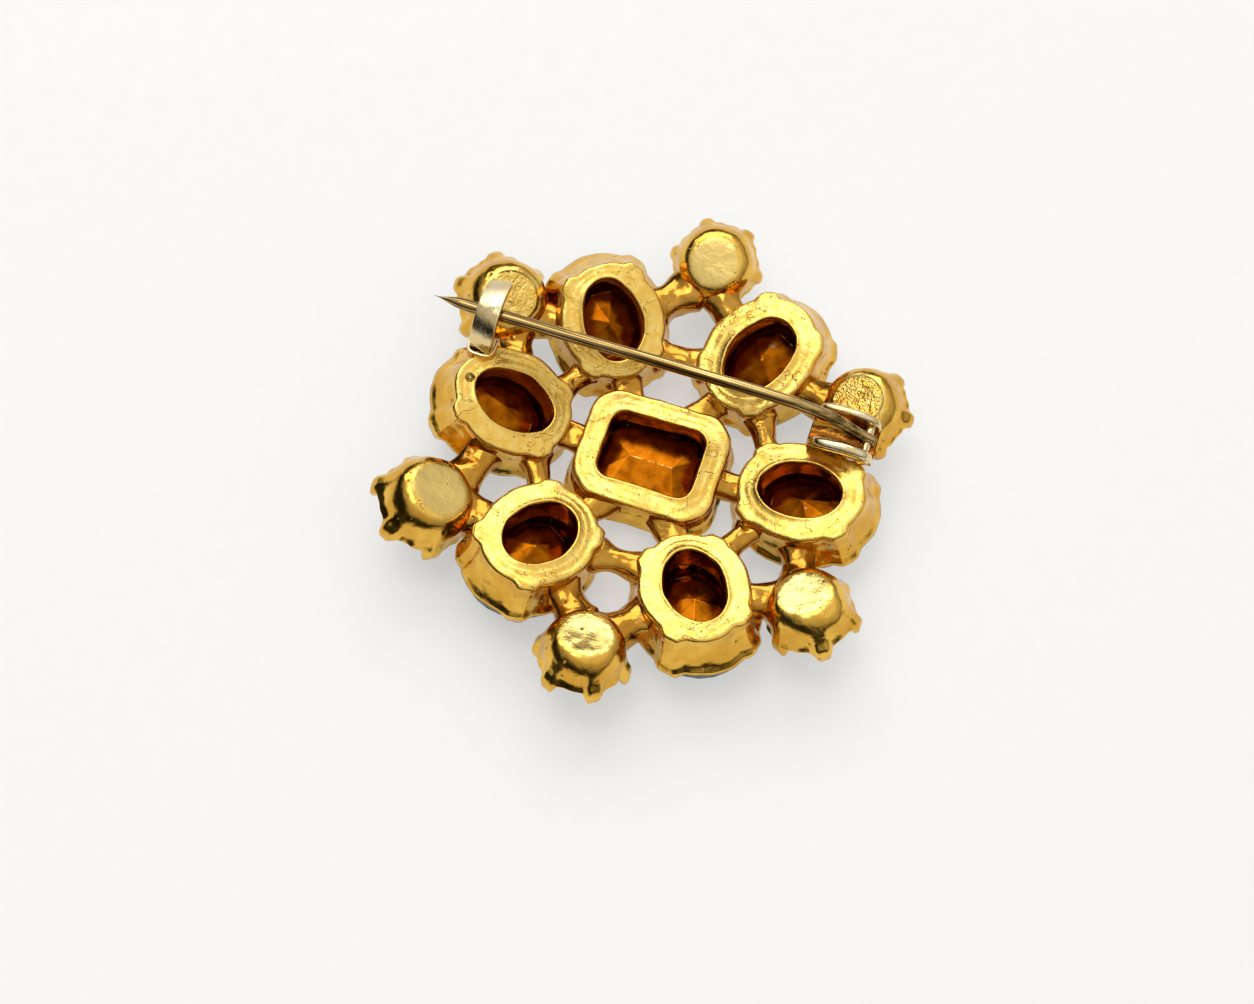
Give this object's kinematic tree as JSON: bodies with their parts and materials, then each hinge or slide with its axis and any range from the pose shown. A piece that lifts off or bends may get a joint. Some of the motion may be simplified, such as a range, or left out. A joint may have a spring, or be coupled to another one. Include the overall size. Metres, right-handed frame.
{
  "type": "brooch",
  "caption": "Vintage gold-tone brooch of clustered open-back stone settings, with a hinged pin stem and a C catch on the back.",
  "frame": {"origin": "middle of the centre stone's table, which is the lowest face as the brooch lies face down", "axes": "+Z towards the back of the brooch (pin side), +X along the centre stone's long side from the catch to the hinge, +Y from the centre towards the pin stem"},
  "size_m": [0.0386, 0.0418, 0.0105],
  "materials": {
    "cast_gold": "yellow gold plate over a cast or soldered base-metal frame, semi-gloss, pitted and scratched",
    "worn_gold": "polished gold plate, worn pale and silvery",
    "brass_wire": "drawn wire with lengthwise dark streaks",
    "foiled_glass": "dark teal green glass, cut, with an amber foil lacquer on its back"
  },
  "bodies": {
    "frame": {"centre_setting": "cast_gold", "oval_setting_1": "cast_gold", "oval_setting_2": "cast_gold", "oval_setting_3": "cast_gold", "oval_setting_4": "cast_gold", "oval_setting_5": "cast_gold", "oval_setting_6": "cast_gold", "round_cup_1": "cast_gold", "round_cup_2": "cast_gold", "round_cup_3": "cast_gold", "round_cup_4": "cast_gold", "round_cup_5": "cast_gold", "round_cup_6": "cast_gold", "ring_bar_1": "cast_gold", "ring_bar_2": "cast_gold", "ring_bar_3": "cast_gold", "ring_bar_4": "cast_gold", "ring_bar_5": "cast_gold", "ring_bar_6": "cast_gold", "centre_bar_1": "cast_gold", "centre_bar_2": "cast_gold", "centre_bar_3": "cast_gold", "centre_bar_4": "cast_gold", "centre_bar_5": "cast_gold", "centre_bar_6": "cast_gold", "cup_bar_1a": "cast_gold", "cup_bar_1b": "cast_gold", "cup_bar_2a": "cast_gold", "cup_bar_2b": "cast_gold", "cup_bar_3a": "cast_gold", "cup_bar_3b": "cast_gold", "cup_bar_4a": "cast_gold", "cup_bar_4b": "cast_gold", "cup_bar_5a": "cast_gold", "cup_bar_5b": "cast_gold", "cup_bar_6a": "cast_gold", "cup_bar_6b": "cast_gold", "centre_stone": "foiled_glass", "oval_stone_1": "foiled_glass", "oval_stone_2": "foiled_glass", "oval_stone_3": "foiled_glass", "oval_stone_4": "foiled_glass", "oval_stone_5": "foiled_glass", "oval_stone_6": "foiled_glass", "round_stone_1": "foiled_glass", "round_stone_2": "foiled_glass", "round_stone_3": "foiled_glass", "round_stone_4": "foiled_glass", "round_stone_5": "foiled_glass", "round_stone_6": "foiled_glass", "hinge_bracket": "worn_gold", "catch": "worn_gold"},
    "pin_pivot": {"hinge_rivet": "worn_gold"},
    "pin": {"pin_stem": "brass_wire"}
  },
  "joints": [
    {"name": "pin_swing", "type": "hinge", "parent": "frame", "child": "pin_pivot", "pos_m": [0.0155, 0.00513, 0.0073], "axis": [0, 1, 0], "range_deg": [0, 105]},
    {"name": "pin_flex", "type": "hinge", "parent": "pin_pivot", "child": "pin", "pos_m": [0.0155, 0.00513, 0.0073], "axis": [0, -0.342, -0.9397], "range_deg": [0, 7], "stiffness_Nm_per_rad": 0.05}
  ]
}
